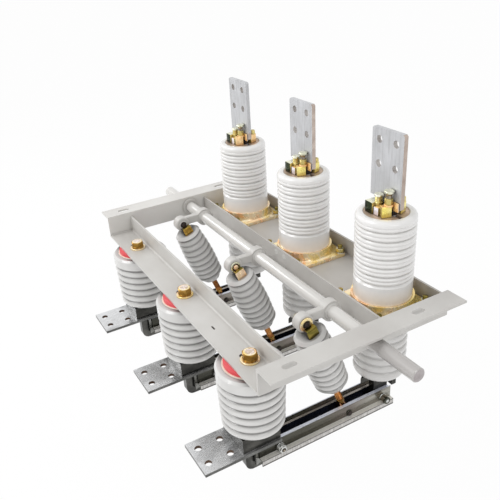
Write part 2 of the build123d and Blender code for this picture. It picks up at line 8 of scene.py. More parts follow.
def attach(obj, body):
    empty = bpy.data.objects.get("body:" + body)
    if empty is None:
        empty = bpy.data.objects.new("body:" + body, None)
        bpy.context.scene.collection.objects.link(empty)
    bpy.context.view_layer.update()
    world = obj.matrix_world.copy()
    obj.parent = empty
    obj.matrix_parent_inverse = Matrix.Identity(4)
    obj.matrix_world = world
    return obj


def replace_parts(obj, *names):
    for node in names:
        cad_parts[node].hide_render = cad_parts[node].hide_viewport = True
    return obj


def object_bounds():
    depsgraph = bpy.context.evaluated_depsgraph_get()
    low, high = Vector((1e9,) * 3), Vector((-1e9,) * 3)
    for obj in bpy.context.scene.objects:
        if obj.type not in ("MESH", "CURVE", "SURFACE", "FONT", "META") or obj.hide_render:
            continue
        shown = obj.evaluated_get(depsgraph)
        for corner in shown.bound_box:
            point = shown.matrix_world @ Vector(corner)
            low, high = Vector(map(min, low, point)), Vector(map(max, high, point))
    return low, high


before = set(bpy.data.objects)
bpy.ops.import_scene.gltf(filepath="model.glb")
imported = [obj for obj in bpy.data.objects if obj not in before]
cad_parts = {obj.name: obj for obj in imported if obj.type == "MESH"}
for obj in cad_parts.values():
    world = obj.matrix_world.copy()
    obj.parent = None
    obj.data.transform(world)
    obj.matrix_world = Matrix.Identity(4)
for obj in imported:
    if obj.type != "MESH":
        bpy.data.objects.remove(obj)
cad_low, cad_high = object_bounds()

MM = 0.001
PHASES = (1, 2, 3)
PHASE_X = {1: 108, 2: 358, 3: 608}

# Places on the CAD, in millimetres
FLANGE_TOP = -46
PLATE_TOP = -39
PAD_TOP = 139
BUSHING_Y = 145.5
POST_Y = -137.5
SHAFT_Y = 34.5
SHAFT_Z = -25
CRANK_PIN_Y = -26
TIE_PIN_Y = 63
CONTACT_Y = -94.5
BLADE_Z = -257
BLADE_TOP = -238
PLATE_FACE = 15
LIP_FACE = 25
SHOULDER_TOP = 168
HOLES_REACH = 30
SHAFT_REACH = 455

# The part of a normal along an axis, above which a face looks that way and below which it lies across
FACING = 0.7
CROSSWISE = 0.3
UP = Vector((0, 0, 1))
FRONT = Vector((0, -1, 0))
RIGHT = Vector((1, 0, 0))


# Node helpers
class Look:
    """A material under construction: each method adds a node and returns its output socket."""

    def __init__(self, name):
        self.material = bpy.data.materials.new(name)
        self.material.use_nodes = True
        self.tree = self.material.node_tree
        self.tree.nodes.clear()
        self.output = self.add("ShaderNodeOutputMaterial")

    def add(self, kind, **settings):
        made = self.tree.nodes.new(kind)
        for key, value in settings.items():
            setattr(made, key, value)
        return made

    def put(self, socket, value):
        if is_socket(value):
            self.tree.links.new(value, socket)
        else:
            socket.default_value = value

    def place(self, scale=(1, 1, 1)):
        coordinates = self.add("ShaderNodeTexCoord").outputs["Object"]
        mapping = self.add("ShaderNodeMapping")
        self.put(mapping.inputs["Vector"], coordinates)
        self.put(mapping.inputs["Scale"], scale)
        return mapping.outputs["Vector"]

    def along(self, axis):
        """Gives the place along X, Y or Z, in metres."""
        split = self.add("ShaderNodeSeparateXYZ")
        self.put(split.inputs["Vector"], self.place())
        return split.outputs[axis]

    def noise(self, scale, detail, roughness=0.55, stretch=(1, 1, 1), distortion=0.0):
        made = self.add("ShaderNodeTexNoise")
        self.put(made.inputs["Vector"], self.place(stretch))
        self.put(made.inputs["Scale"], scale)
        self.put(made.inputs["Detail"], detail)
        self.put(made.inputs["Roughness"], roughness)
        self.put(made.inputs["Distortion"], distortion)
        return made.outputs["Fac"]

    def cells(self, scale):
        made = self.add("ShaderNodeTexVoronoi", feature="F1")
        self.put(made.inputs["Vector"], self.place())
        self.put(made.inputs["Scale"], scale)
        return made.outputs["Distance"]

    def ramp(self, value, *stops):
        made = self.add("ShaderNodeValToRGB")
        elements = made.color_ramp.elements
        while len(elements) < len(stops):
            elements.new(0.5)
        for element, (position, colour) in zip(elements, stops):
            element.position = position
            element.color = tone(colour)
        self.put(made.inputs["Fac"], value)
        return made.outputs["Color"]

    def mix(self, share, first, second):
        made = self.add("ShaderNodeMix", data_type="RGBA", blend_type="MIX")
        self.put(made.inputs["Factor"], share)
        self.put(made.inputs["A"], first if is_socket(first) else tone(first))
        self.put(made.inputs["B"], second if is_socket(second) else tone(second))
        return made.outputs["Result"]

    def math(self, operation, first, second, clamp=False):
        made = self.add("ShaderNodeMath", operation=operation, use_clamp=clamp)
        self.put(made.inputs[0], first)
        self.put(made.inputs[1], second)
        return made.outputs["Value"]

    def span(self, value, low, high, to_low=0.0, to_high=1.0):
        made = self.add("ShaderNodeMapRange")
        self.put(made.inputs["Value"], value)
        self.put(made.inputs["From Min"], low)
        self.put(made.inputs["From Max"], high)
        self.put(made.inputs["To Min"], to_low)
        self.put(made.inputs["To Max"], to_high)
        return made.outputs["Result"]

    def vary(self, noise, low, high):
        """Spreads the middle of a noise's range from low to high."""
        return self.span(noise, 0.3, 0.7, low, high)

    def creases(self, distance, share, shut=0.3, clear=0.9):
        """Gives the share of painted shade in creases and corners, from ambient occlusion, down to 0 on
        open faces.
        """
        made = self.add("ShaderNodeAmbientOcclusion", samples=8)
        self.put(made.inputs["Distance"], distance)
        return self.span(made.outputs["AO"], shut, clear, share, 0.0)

    def bump(self, height, strength, distance):
        made = self.add("ShaderNodeBump")
        self.put(made.inputs["Height"], height)
        self.put(made.inputs["Strength"], strength)
        self.put(made.inputs["Distance"], distance)
        return made.outputs["Normal"]

    def finish(self, colour, roughness, normal, **others):
        """Joins the sockets to a shader, with other inputs by name, and returns the material."""
        shader = self.add("ShaderNodeBsdfPrincipled")
        self.put(shader.inputs["Base Color"], colour)
        self.put(shader.inputs["Roughness"], roughness)
        self.put(shader.inputs["Normal"], normal)
        for key, value in others.items():
            self.put(shader.inputs[key.replace("_", " ")], value)
        self.put(self.output.inputs["Surface"], shader.outputs["BSDF"])
        return self.material


def is_socket(value):
    return isinstance(value, bpy.types.NodeSocket)


def tone(colour):
    """Turns a grey level or an sRGB colour from 0 to 255 into a linear RGBA colour."""
    parts = (colour,) * 3 if isinstance(colour, (int, float)) else colour
    linear = [c / 255 / 12.92 if c <= 10.3 else ((c / 255 + 0.055) / 1.055) ** 2.4 for c in parts]
    return (*linear, 1.0)


# Materials
def frame_paint(name, lift=0):
    """Semi-gloss grey paint; a lift of its grey levels gives a paler, lit copy of it, as painted light."""
    look = Look(name)
    patches = look.noise(9, 3)
    fine = look.noise(160, 2)
    stops = ((0.3, (194, 191, 187)), (0.55, (202, 200, 196)), (0.8, (210, 208, 205)))
    # The lift raises every grey level: painted light
    colour = look.ramp(patches, *((at, tuple(part + lift for part in shade)) for at, shade in stops))
    # Painted shade: darker in creases and corners, by ambient occlusion
    crease_shade = look.creases(0.012, 0.5, 0.35)
    colour = look.mix(crease_shade, colour, (142, 138, 131))
    scuffs = look.ramp(look.noise(55, 6, 0.7), (0.66, 0), (0.72, 255))
    colour = look.mix(look.math("MULTIPLY", scuffs, 0.18), colour, (168, 164, 158))
    roughness = look.vary(fine, 0.30, 0.42)
    normal = look.bump(look.noise(420, 2), 0.12, 0.0004)
    return look.finish(colour, roughness, normal, Specular_IOR_Level=0.5)


def porcelain(name, low, high, groove, depth, reach, foot=None):
    """Glazed porcelain between two greys, with painted shade in its grooves.

    A foot, for the bushings, is a painted warm reflection of the flange plate above it and a painted grey
    shade, with darker painted grooves, under the frame.
    """
    look = Look(name)
    clouds = look.noise(14, 3)
    colour = look.ramp(clouds, (0.3, low), (0.7, high))
    # Painted shade: grooves darkened by ambient occlusion
    grooves = look.creases(reach, depth, 0.4, 1.0)
    colour = look.mix(grooves, colour, groove)
    if foot:
        height = look.along("Z")
        # Painted reflection: the flange plate's warm colour on the porcelain just above it
        glow = look.span(height, foot["reflection_from"] * MM, foot["reflection_to"] * MM, foot["glow"], 0.0)
        above = look.math("GREATER_THAN", height, FLANGE_TOP * MM)
        below = look.math("SUBTRACT", 1.0, above)
        colour = look.mix(look.math("MULTIPLY", glow, above), colour, foot["colour"])
        # Painted shade: greyer under the frame
        colour = look.mix(look.math("MULTIPLY", below, foot["shade"]), colour, (176, 174, 171))
        # Painted shade: grooves under the frame darker still
        deep = look.creases(0.02, 1.0, 0.4, 1.0)
        colour = look.mix(look.math("MULTIPLY", below, deep), colour, (104, 102, 98))
    specks = look.ramp(look.cells(240), (0.05, 255), (0.08, 0))
    colour = look.mix(look.math("MULTIPLY", specks, 0.2), colour, (150, 142, 130))
    roughness = look.vary(look.noise(30, 3), 0.14, 0.24)
    normal = look.bump(look.noise(60, 2), 0.08, 0.0008)
    return look.finish(colour, roughness, normal, Coat_Weight=0.4, Coat_Roughness=0.08)


def zinc(name, *stops, crease_shade, drift=38, metallic=1.0):
    """Passivated or plated metal whose colour drifts between stops, with painted shade in its corners."""
    look = Look(name)
    colour = look.ramp(look.noise(drift, 3, distortion=0.8), *stops)
    # Painted shade: corners darkened by ambient occlusion
    corner_shade_share = look.creases(0.006, 0.6)
    colour = look.mix(corner_shade_share, colour, crease_shade)
    roughness = look.vary(look.noise(120, 4), 0.16, 0.32)
    normal = look.bump(look.noise(420, 3), 0.1, 0.0003)
    return look.finish(colour, roughness, normal, Metallic=metallic)


def brushed(name, low, high, streak, stretch, share, rough, metallic=0.85):
    """Metal with streaks that run along the axes where the stretch is small, and painted shade in its
    creases.
    """
    look = Look(name)
    colour = look.ramp(look.noise(26, 4), (0.3, low), (0.7, high))
    streaks = look.noise(40, 5, 0.6, stretch)
    colour = look.mix(look.span(streaks, 0.45, 0.75, 0, share), colour, streak)
    # Painted shade: creases darkened by ambient occlusion
    edges = look.creases(0.004, 0.5)
    colour = look.mix(edges, colour, tuple(c * 0.45 for c in streak))
    roughness = look.vary(look.noise(60, 3, 0.5, stretch), *rough)
    normal = look.bump(look.noise(160, 3, 0.6, stretch), 0.08, 0.0002)
    return look.finish(colour, roughness, normal, Metallic=metallic)


def plate_web():
    """Bright steel with a painted reflection that is dark and olive at the contact and paler towards the
    pivot, and painted shade in its creases.
    """
    look = Look("plate_web")
    contact, pivot = -0.135, 0.165
    # Painted reflection: a ramp along the blade, dark olive at the contact and pale at the pivot
    wander = look.vary(look.noise(14, 3, 0.5, (1, 0.5, 3)), -0.05, 0.05)
    way = look.span(look.math("ADD", look.along("Y"), wander), contact, pivot)
    stops = (0.0, (64, 64, 58)), (0.4, (96, 94, 84)), (0.7, (118, 110, 104)), (1.0, (168, 166, 158))
    colour = look.ramp(way, *stops)
    streaks = look.noise(34, 5, 0.6, (9, 0.5, 6))
    colour = look.mix(look.span(streaks, 0.45, 0.72, 0, 0.5), colour, (58, 56, 48))
    # Painted shade: creases darkened by ambient occlusion
    edges = look.creases(0.004, 0.6)
    colour = look.mix(edges, colour, (26, 26, 24))
    roughness = look.vary(look.noise(60, 3, 0.5, (9, 0.5, 6)), 0.16, 0.3)
    normal = look.bump(look.noise(160, 3, 0.6, (9, 0.5, 9)), 0.08, 0.0002)
    return look.finish(colour, roughness, normal, Metallic=0.9)


def plate_lip():
    """The top of the lock plates' lips, painted pale as a reflection of the white surroundings."""
    look = Look("plate_lip")
    colour = look.ramp(look.noise(30, 4, 0.5, (6, 0.6, 6)), (0.3, (238, 235, 226)), (0.7, (250, 248, 242)))
    roughness = look.vary(look.noise(80, 3), 0.26, 0.4)
    normal = look.bump(look.noise(160, 3, 0.6, (9, 0.6, 9)), 0.08, 0.0002)
    return look.finish(colour, roughness, normal, Metallic=0.15)


def plate_lip_side():
    """The lip's outer face: a hatched bright band between two dark lines, painted reflections of a bent
    lip.
    """
    look = Look("plate_lip_side")
    lip_bottom, lip_top = -0.276, -0.263
    height = look.span(look.along("Z"), lip_bottom, lip_top)
    hatch = look.span(look.noise(46, 3, 0.7, (1, 6, 1)), 0.35, 0.65)
    band = look.mix(hatch, (172, 169, 166), (214, 212, 209))
    # Painted reflection: dark lines at the bends with a bright band between them
    share = look.ramp(
        height, (0.0, 60), (0.06, 255), (0.2, 255), (0.27, 30), (0.8, 0), (0.88, 255), (1.0, 230)
    )
    colour = look.mix(look.math("MULTIPLY", share, 1.0, clamp=True), band, (84, 81, 78))
    roughness = look.vary(look.noise(60, 3), 0.2, 0.32)
    normal = look.bump(look.noise(160, 3, 0.6, (9, 0.6, 9)), 0.08, 0.0002)
    return look.finish(colour, roughness, normal, Metallic=0.5)


def terminal_tin():
    """Tinned front terminal: streaked, with a painted dark reflection towards its seat, with milled cross
    marks in places.
    """
    look = Look("tinned_copper_front")
    colour = look.ramp(look.noise(26, 4), (0.3, (212, 213, 214)), (0.7, (232, 233, 235)))
    streaks = look.noise(40, 5, 0.6, (9, 1, 9))
    colour = look.mix(look.span(streaks, 0.45, 0.75, 0, 0.25), colour, (172, 172, 170))
    # Painted reflection: dark sweeps on the plate near its seat
    clear_of_seat, at_seat = -0.216, -0.184
    near_seat = look.span(look.along("Y"), clear_of_seat, at_seat, 0.0, 0.6)
    dark_reflection_sweep = look.span(look.noise(24, 3, distortion=1.2), 0.36, 0.62)
    colour = look.mix(look.math("MULTIPLY", near_seat, dark_reflection_sweep), colour, (92, 92, 90))
    marks = look.add("ShaderNodeTexVoronoi", feature="F1", distance="CHEBYCHEV")
    look.put(marks.inputs["Vector"], look.place((1, 1, 0.01)))
    look.put(marks.inputs["Scale"], 420)
    look.put(marks.inputs["Randomness"], 0.2)
    dots = look.span(marks.outputs["Distance"], 0.2, 0.45, 0.0, 1.0)
    patch = look.span(look.noise(16, 2, 0.4, (1, 1, 0.01)), 0.5, 0.6)
    colour = look.mix(look.math("MULTIPLY", look.math("MULTIPLY", dots, patch), 0.5), colour, (96, 96, 94))
    roughness = look.vary(look.noise(60, 3, 0.5, (9, 1, 9)), 0.22, 0.36)
    normal = look.bump(dots, 0.12, 0.0002)
    return look.finish(colour, roughness, normal, Metallic=0.8)


def shaft_paint():
    """Glossy paint, paler than the frame's as painted light, with painted shade on the stub beyond the
    right end angle and in its creases.
    """
    look = Look("shaft_paint")
    # Painted light: paler than the frame paint, for the shine along the shaft
    colour = look.ramp(look.noise(12, 3, 0.5, (0.4, 1, 1)), (0.3, (204, 202, 198)), (0.7, (218, 216, 212)))
    # Painted shade: darker on the stub beyond the right end angle
    stub_start, stub_end = 0.712, 0.722
    stub_shade = look.span(look.along("X"), stub_start, stub_end, 0.0, 0.75)
    colour = look.mix(stub_shade, colour, (168, 164, 162))
    # Painted shade: creases darkened by ambient occlusion
    crease_shade = look.creases(0.01, 0.5, 0.35)
    colour = look.mix(crease_shade, colour, (136, 132, 126))
    roughness = look.vary(look.noise(60, 3), 0.16, 0.24)
    normal = look.bump(look.noise(260, 2), 0.06, 0.0003)
    return look.finish(colour, roughness, normal, Coat_Weight=0.6, Coat_Roughness=0.06)


def shaft_end_paint():
    """Worn paint on the sawn ends of the shaft."""
    look = Look("shaft_end_paint")
    colour = look.ramp(look.noise(90, 4), (0.3, (160, 152, 152)), (0.7, (184, 178, 178)))
    roughness = look.vary(look.noise(120, 3), 0.34, 0.5)
    normal = look.bump(look.noise(300, 3), 0.15, 0.0003)
    return look.finish(colour, roughness, normal)


def tray_paint():
    """The bushing tray's paint, a little darker than the frame's, with painted shade in its creases."""
    look = Look("tray_paint")
    colour = look.ramp(look.noise(8, 3), (0.3, (180, 176, 171)), (0.7, (194, 191, 186)))
    # Painted shade: creases darkened by ambient occlusion
    crease_shade = look.creases(0.02, 0.5, 0.35, 0.95)
    colour = look.mix(crease_shade, colour, (132, 127, 120))
    roughness = look.vary(look.noise(90, 2), 0.3, 0.4)
    normal = look.bump(look.noise(420, 2), 0.1, 0.0003)
    return look.finish(colour, roughness, normal)


def red_paint():
    """Matt red lacquer of the post caps."""
    look = Look("red_paint")
    colour = look.ramp(look.noise(30, 4), (0.3, (222, 74, 80)), (0.7, (232, 92, 98)))
    roughness = look.vary(look.noise(120, 3), 0.35, 0.5)
    normal = look.bump(look.noise(300, 3), 0.12, 0.0004)
    return look.finish(colour, roughness, normal)


def cement():
    """Rough cream cement round the post caps."""
    look = Look("cement")
    colour = look.ramp(look.noise(80, 4), (0.3, (222, 206, 190)), (0.7, (240, 228, 214)))
    roughness = look.vary(look.noise(120, 3), 0.6, 0.8)
    normal = look.bump(look.noise(260, 4), 0.3, 0.0005)
    return look.finish(colour, roughness, normal)


def slot_shadow():
    """Painted shade: nearly black, for the depth of slots and holes and for dark gaps."""
    look = Look("slot_shadow")
    colour = look.ramp(look.noise(90, 3), (0.3, (30, 22, 18)), (0.7, (52, 40, 34)))
    roughness = look.vary(look.noise(120, 3), 0.6, 0.8)
    normal = look.bump(look.noise(300, 3), 0.2, 0.0004)
    return look.finish(colour, roughness, normal)


PAINT = frame_paint("frame_paint")
# A lit copy of the frame paint for the left end angle: painted light
PAINT_LIT = frame_paint("frame_paint_lit", 14)
# One porcelain in lit and shaded copies: the different greys of the bushings, posts and ties are painted
# light and shade
BUSHING = porcelain(
    "porcelain_bushing",
    (230, 229, 227),
    (240, 239, 238),
    groove=(208, 206, 203),
    depth=0.4,
    reach=0.012,
    foot={"reflection_from": -22, "reflection_to": 10, "glow": 0.8, "colour": (255, 238, 218), "shade": 0.5},
)
POST = porcelain(
    "porcelain_post", (208, 207, 205), (222, 221, 219), groove=(104, 102, 100), depth=1.0, reach=0.02
)
TIE = porcelain(
    "porcelain_tie", (200, 199, 197), (216, 215, 213), groove=(96, 95, 93), depth=1.0, reach=0.018
)
GOLD = zinc(
    "gold_zinc",
    (0.3, (236, 222, 148)),
    (0.42, (252, 224, 150)),
    (0.52, (255, 242, 208)),
    (0.6, (255, 204, 152)),
    (0.7, (255, 228, 196)),
    (0.82, (240, 206, 130)),
    crease_shade=(220, 172, 108),
    drift=15,
    metallic=0.55,
)
GOLD_YELLOW = zinc(
    "gold_yellow", (0.3, (240, 222, 110)), (0.7, (255, 240, 160)), crease_shade=(170, 134, 50), metallic=0.6
)
GOLD_ORANGE = zinc(
    "gold_orange", (0.3, (246, 194, 124)), (0.7, (255, 224, 172)), crease_shade=(170, 118, 60), metallic=0.55
)
GOLD_PINK = zinc(
    "gold_pink", (0.3, (240, 232, 238)), (0.7, (252, 248, 252)), crease_shade=(170, 150, 150), metallic=0.4
)
GOLD_DULL = zinc(
    "gold_dull",
    (0.3, (176, 156, 88)),
    (0.55, (214, 196, 124)),
    (0.75, (244, 232, 176)),
    crease_shade=(96, 76, 34),
    metallic=0.7,
)
GOLD_PALE = zinc("gold_pale", (0.3, (222, 224, 192)), (0.7, (244, 242, 226)), crease_shade=(150, 140, 110))
SILVER = zinc("silver_zinc", (0.3, (196, 198, 196)), (0.7, (232, 232, 228)), crease_shade=(96, 94, 88))
STEEL_DARK = zinc("dark_steel", (0.3, (52, 56, 48)), (0.7, (104, 102, 90)), crease_shade=(18, 18, 14))
COPPER_EDGE = zinc("copper_edge", (0.3, (168, 152, 142)), (0.7, (200, 186, 176)), crease_shade=(120, 100, 88))
PIN_SLEEVE = zinc("pin_sleeve", (0.3, (120, 112, 100)), (0.7, (176, 166, 150)), crease_shade=(50, 44, 36))
BOLT_TOP = zinc(
    "bolt_top",
    (0.35, (206, 186, 160)),
    (0.5, (238, 222, 214)),
    (0.7, (250, 240, 236)),
    crease_shade=(110, 84, 60),
    drift=120,
)


def three_tone_zinc(name, dark, middle, light, crease_shade):
    """Fully metallic zinc between three tones."""
    return zinc(name, (0.3, dark), (0.55, middle), (0.75, light), crease_shade=crease_shade)


GOLD_GREEN = three_tone_zinc("gold_green", (34, 42, 30), (62, 70, 50), (112, 106, 70), (24, 26, 20))
GOLD_BROWN = three_tone_zinc("gold_brown", (128, 92, 40), (172, 132, 62), (212, 172, 104), (58, 40, 16))
GOLD_DEEP = three_tone_zinc("gold_deep", (160, 120, 46), (198, 158, 76), (232, 200, 128), (70, 48, 18))
OLIVE = three_tone_zinc("olive_zinc", (104, 96, 44), (142, 126, 62), (190, 160, 96), (40, 32, 14))
BRONZE = three_tone_zinc("bronze_stud", (112, 68, 36), (178, 118, 64), (222, 176, 116), (44, 22, 8))

ALONG_BLADE = (9, 0.6, 9)
TIN = brushed(
    "tinned_copper",
    (196, 197, 199),
    (210, 211, 214),
    streak=(150, 150, 150),
    stretch=(9, 1, 0.6),
    share=0.5,
    rough=(0.52, 0.64),
    metallic=0.5,
)
TIN_BASE = terminal_tin()
# Painted highlight: bright bluish white on the near bar's top and the plates' tops
BAR_TOP_HIGHLIGHT = brushed(
    "bar_top_highlight",
    (222, 228, 244),
    (244, 247, 255),
    streak=(196, 204, 224),
    stretch=ALONG_BLADE,
    share=0.4,
    rough=(0.2, 0.3),
    metallic=0.3,
)
# Painted reflection: the far bar's top, duller than the near one
BAR_FAR_REFLECTION = brushed(
    "bar_far_top_reflection",
    (132, 126, 120),
    (168, 162, 156),
    streak=(92, 88, 84),
    stretch=ALONG_BLADE,
    share=0.5,
    rough=(0.16, 0.28),
)
# Painted shade and dark reflection on the bars' facing inner sides
BAR_GAP_SHADE = brushed(
    "bar_gap_shade",
    (16, 18, 28),
    (34, 38, 56),
    streak=(8, 8, 12),
    stretch=ALONG_BLADE,
    share=0.5,
    rough=(0.12, 0.22),
    metallic=0.6,
)
BAR_SIDE = brushed(
    "bar_side",
    (112, 112, 108),
    (150, 150, 146),
    streak=(66, 66, 62),
    stretch=ALONG_BLADE,
    share=0.5,
    rough=(0.16, 0.28),
)
WEB = plate_web()
LIP = plate_lip()
LIP_SIDE = plate_lip_side()
# Painted shade: the post seats and pivot contacts darkened for the shade they stand in
SEAT_SHADED = brushed(
    "seat_metal_shaded",
    (40, 40, 38),
    (86, 85, 81),
    streak=(24, 24, 22),
    stretch=(2, 2, 6),
    share=0.5,
    rough=(0.16, 0.28),
)
TONGUE = brushed(
    "tongue_metal",
    (54, 54, 52),
    (108, 107, 103),
    streak=(34, 34, 32),
    stretch=(6, 2, 1),
    share=0.5,
    rough=(0.14, 0.26),
)
EDGE_DARK = brushed(
    "terminal_edge",
    (88, 88, 86),
    (128, 128, 126),
    streak=(56, 56, 54),
    stretch=(1, 6, 9),
    share=0.5,
    rough=(0.2, 0.34),
)
HOLE_PALE = brushed(
    "hole_wall_pale",
    (166, 160, 156),
    (214, 210, 206),
    streak=(100, 92, 86),
    stretch=(3, 3, 9),
    share=0.5,
    rough=(0.3, 0.5),
    metallic=0.5,
)
# Painted shade: dark walls for the front terminals' holes
HOLE = brushed(
    "hole_wall",
    (64, 48, 38),
    (104, 84, 70),
    streak=(34, 24, 20),
    stretch=(3, 3, 9),
    share=0.5,
    rough=(0.3, 0.5),
)
BORE = brushed(
    "bore_pad_metal",
    (176, 152, 130),
    (214, 192, 172),
    streak=(140, 116, 92),
    stretch=(3, 3, 3),
    share=0.4,
    rough=(0.4, 0.6),
    metallic=0.4,
)
SHAFT = shaft_paint()
SHAFT_END = shaft_end_paint()
TRAY = tray_paint()
RED = red_paint()
CEMENT = cement()
SHADOW = slot_shadow()

NODE_LOOKS = {
    "end_angle_left": PAINT_LIT,
    "end_angle_right": PAINT,
    "front_beam": PAINT,
    "bushing_tray": TRAY,
    "shaft": SHAFT,
    "shaft_collars": PAINT,
    "flange_plates": GOLD,
    "terminal_clamps": GOLD,
    "bore_pads": BORE,
    "post_caps": RED,
    "post_seats": SEAT_SHADED,
    "contact_tongues": TONGUE,
}
for number in PHASES:
    NODE_LOOKS[f"bushing_{number}"] = BUSHING
    NODE_LOOKS[f"post_{number}"] = POST
    NODE_LOOKS[f"tie_insulator_{number}"] = TIE
    NODE_LOOKS[f"tie_fittings_{number}"] = BRONZE
    NODE_LOOKS[f"crank_{number}"] = PAINT
    NODE_LOOKS[f"conductor_{number}"] = TIN
    NODE_LOOKS[f"front_terminal_{number}"] = TIN_BASE
    NODE_LOOKS[f"blade_bars_{number}"] = BAR_SIDE
    NODE_LOOKS[f"lock_plates_{number}"] = WEB
    NODE_LOOKS[f"blade_pins_{number}"] = SILVER
    NODE_LOOKS[f"pivot_contact_{number}"] = SEAT_SHADED

for name, look in NODE_LOOKS.items():
    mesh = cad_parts[name].data
    mesh.materials.clear()
    mesh.materials.append(look)


def repaint(node, look, test):
    """Gives a look to the faces of a node whose centre, in millimetres, and normal pass a test."""
    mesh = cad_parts[node].data
    mesh.materials.append(look)
    slot = len(mesh.materials) - 1
    for face in mesh.polygons:
        if test(face.center / MM, face.normal):
            face.material_index = slot


def repaint_phase(number):
    """Gives single faces of a phase's nodes their own looks."""
    x = PHASE_X[number]
    bars = f"blade_bars_{number}"
    # Painted highlight on the near bar's top, painted reflection on the far bar's, painted shade between
    # the bars
    repaint(bars, BAR_TOP_HIGHLIGHT, lambda c, n: n.z > FACING and c.x > x)
    repaint(bars, BAR_FAR_REFLECTION, lambda c, n: n.z > FACING and c.x < x)
    repaint(bars, BAR_GAP_SHADE, lambda c, n: n.x * (c.x - x) < 0 and abs(n.x) > FACING)
    plates = f"lock_plates_{number}"
    # Painted reflections on the lips: pale tops and banded outer faces
    repaint(plates, LIP, lambda c, n: abs(n.z) > FACING and abs(c.x - x) > PLATE_FACE)
    repaint(plates, LIP_SIDE, lambda c, n: abs(n.x) > FACING and abs(c.x - x) > LIP_FACE - 0.5)
    # Painted highlight on the plates' top faces
    repaint(plates, BAR_TOP_HIGHLIGHT, lambda c, n: n.z > FACING and c.z > BLADE_TOP - 1)
    conductor = f"conductor_{number}"
    if number > 1:
        edge_reach, edge_bottom = 30, 160
        repaint(
            conductor,
            COPPER_EDGE,
            lambda c, n: n.x > FACING and c.x > x + edge_reach and c.z > edge_bottom,
        )
    # Painted shade: the conductor's sides between the clamp blocks
    repaint(conductor, SHADOW, lambda c, n: abs(n.x) > FACING and PAD_TOP < c.z < SHOULDER_TOP)
    holes_low, holes_high = 210, 275
    repaint(
        conductor,
        HOLE_PALE,
        lambda c, n: abs(n.y) < CROSSWISE and abs(c.x - x) < HOLES_REACH and holes_low < c.z < holes_high,
    )
    terminal = f"front_terminal_{number}"
    front_edge = -254
    repaint(terminal, EDGE_DARK, lambda c, n: abs(n.z) < CROSSWISE)
    # Painted shade on the front terminals' hole walls
    repaint(
        terminal,
        HOLE,
        lambda c, n: abs(n.z) < CROSSWISE and abs(c.x - x) < HOLES_REACH and c.y > front_edge,
    )
    lug_bottom = -90
    repaint(f"tie_fittings_{number}", OLIVE, lambda c, n: c.z > lug_bottom)


for number in PHASES:
    repaint_phase(number)
repaint("shaft", SHAFT_END, lambda c, n: abs(n.x) > 0.9 and abs(c.x - PHASE_X[2]) > SHAFT_REACH)


